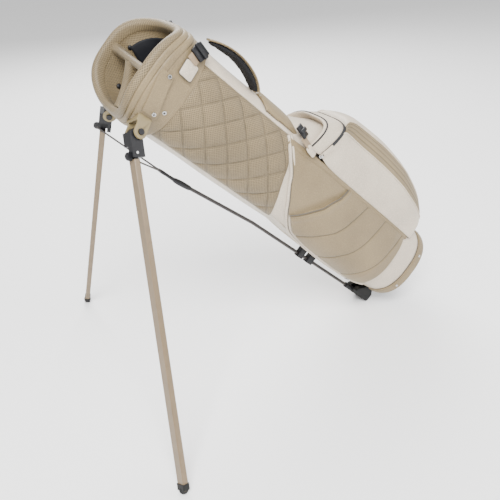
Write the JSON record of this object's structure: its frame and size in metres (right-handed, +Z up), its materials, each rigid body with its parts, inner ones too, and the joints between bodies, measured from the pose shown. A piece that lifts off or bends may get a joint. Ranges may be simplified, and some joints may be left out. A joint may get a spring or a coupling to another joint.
{
  "type": "golf stand bag",
  "caption": "Leaning golf stand bag with quilted body, padded club mouth, zipped pockets, shoulder straps and two folding legs worked by a toe lever.",
  "frame": {"origin": "on the floor, under the middle of the standing bag's bounding box", "axes": "+Z up, +X from the legs towards the base of the bag, +Y to the side away from the near leg"},
  "size_m": [0.8344, 0.7686, 0.776],
  "materials": {
    "boot_leather": "tan leatherette boot around the base",
    "base_plastic": "dark moulded plastic",
    "black_plastic": "black moulded nylon",
    "black_rubber": "matt black rubber",
    "tan_leather": "tan leatherette, fine grain",
    "tan_perforated": "tan leatherette, quilted and perforated",
    "cream_leather": "cream leatherette, fine grain",
    "white_leather": "off-white leatherette",
    "olive_plastic": "moulded plastic in olive tan",
    "lining": "dark navy woven lining",
    "leg_paint": "aluminium tube painted tan, satin",
    "steel": "bright plated steel",
    "rod_steel": "spring steel, dark coating",
    "stay_alloy": "drawn tube",
    "zipper_tape": "black coil zipper tape",
    "black_mesh": "black spacer mesh over foam",
    "webbing": "tan woven webbing"
  },
  "bodies": {
    "root": {"base_cup": "boot_leather", "base_rivets": "steel", "body_liner": "lining", "stay_rods": "stay_alloy", "skirt_panel": "cream_leather", "front_panel": "white_leather", "back_panel": "cream_leather", "quilted_panel_near": "tan_perforated", "quilted_panel_far": "tan_perforated", "apparel_pocket_near": "tan_leather", "apparel_pocket_far": "tan_leather", "pocket_piping": "cream_leather", "cuff_shell": "tan_leather", "rim_pad": "tan_perforated", "divider_bar": "tan_perforated", "half_divider": "tan_perforated", "divider_screws": "black_plastic", "cuff_screws": "steel", "cuff_arm_near": "olive_plastic", "cuff_arm_far": "olive_plastic", "leg_bracket_near": "olive_plastic", "leg_bracket_far": "olive_plastic", "hinge_pins": "black_plastic", "rod_guide_upper": "black_plastic", "rod_guide_lower": "black_plastic", "toe_pin": "steel", "toe_bracket": "black_plastic", "ball_pocket": "cream_leather", "ball_pocket_gusset": "tan_leather", "valuables_pocket": "cream_leather", "valuables_zipper": "zipper_tape", "back_pad": "tan_leather", "far_strap": "tan_leather", "upper_buckles": "black_plastic", "upper_tabs": "cream_leather", "lower_buckles": "black_plastic", "lower_tabs": "webbing", "base_plate": "base_plastic"},
    "leg_near": {"leg_head_near": "black_plastic", "leg_tube_near": "leg_paint", "leg_tip_near": "black_rubber", "leg_rivet_near": "steel"},
    "leg_far": {"leg_head_far": "black_plastic", "leg_tube_far": "leg_paint", "leg_tip_far": "black_rubber", "leg_rivet_far": "steel"},
    "rod": {"actuator_rod": "rod_steel", "rod_sleeve": "black_plastic", "yoke_block": "black_plastic", "rod_end": "black_plastic", "cross_pin": "steel"},
    "wire_near": {"yoke_wire_near": "rod_steel"},
    "wire_far": {"yoke_wire_far": "rod_steel"},
    "toe": {"toe_lever": "black_rubber"},
    "strap": {"strap_cover": "tan_leather", "strap_pad": "black_mesh"},
    "zip_slider": {"valuables_slider": "steel"},
    "zip_pull": {"valuables_pull": "cream_leather"},
    "slider_near": {"apparel_slider_near": "steel"},
    "slider_far": {"apparel_slider_far": "steel"}
  },
  "joints": [
    {"name": "leg_near_fold", "type": "hinge", "parent": "root", "child": "leg_near", "pos_m": [-0.32626, -0.0871, 0.59963], "axis": [0.3517, -0.8602, 0.3693], "range_deg": [0, 57.25]},
    {"name": "leg_far_fold", "type": "hinge", "parent": "root", "child": "leg_far", "pos_m": [-0.32626, 0.0871, 0.59963], "axis": [-0.3517, -0.8602, -0.3693], "range_deg": [0, 57.25]},
    {"name": "rod_slide", "type": "slide", "parent": "root", "child": "rod", "axis": [0.7242, 0, -0.6896], "range_m": [0, 0.0476]},
    {"name": "wire_near_swing", "type": "hinge", "parent": "rod", "child": "wire_near", "pos_m": [-0.2641, -0.004, 0.48727], "axis": [-0.8972, -0.1532, 0.4142], "range_deg": [0, 14.1]},
    {"name": "wire_far_swing", "type": "hinge", "parent": "rod", "child": "wire_far", "pos_m": [-0.2641, 0.004, 0.48727], "axis": [0.8972, -0.1532, -0.4142], "range_deg": [0, 14.1]},
    {"name": "toe_drop", "type": "hinge", "parent": "root", "child": "toe", "pos_m": [0.27683, 0, 0.04533], "axis": [0, -1, 0], "range_deg": [0, 65.49]},
    {"name": "strap_swing", "type": "hinge", "parent": "root", "child": "strap", "pos_m": [-0.18467, -0.046, 0.73889], "axis": [0.736, 0, -0.677], "range_deg": [0, 35]},
    {"name": "valuables_zip", "type": "slide", "parent": "root", "child": "zip_slider", "axis": [0.8686, 0, 0.4955], "range_m": [0, 0.045]},
    {"name": "zip_pull_flip", "type": "hinge", "parent": "zip_slider", "child": "zip_pull", "pos_m": [0.06963, -0.0954, 0.47716], "axis": [0.4955, 0, -0.8686], "range_deg": [0, 110]},
    {"name": "apparel_zip_near", "type": "slide", "parent": "root", "child": "slider_near", "axis": [-0.7242, 0, 0.6896], "range_m": [0, 0.24]},
    {"name": "apparel_zip_far", "type": "slide", "parent": "root", "child": "slider_far", "axis": [-0.7242, 0, 0.6896], "range_m": [0, 0.24]}
  ],
  "couplings": [
    {"joint": "leg_far_fold", "follows": "leg_near_fold", "ratio": 1},
    {"joint": "rod_slide", "follows": "leg_near_fold", "m_per_rad": 0.047538},
    {"joint": "wire_near_swing", "follows": "leg_near_fold", "ratio": 0.24454},
    {"joint": "wire_far_swing", "follows": "leg_near_fold", "ratio": 0.24454},
    {"joint": "toe_drop", "follows": "leg_near_fold", "ratio": 1.1422}
  ]
}
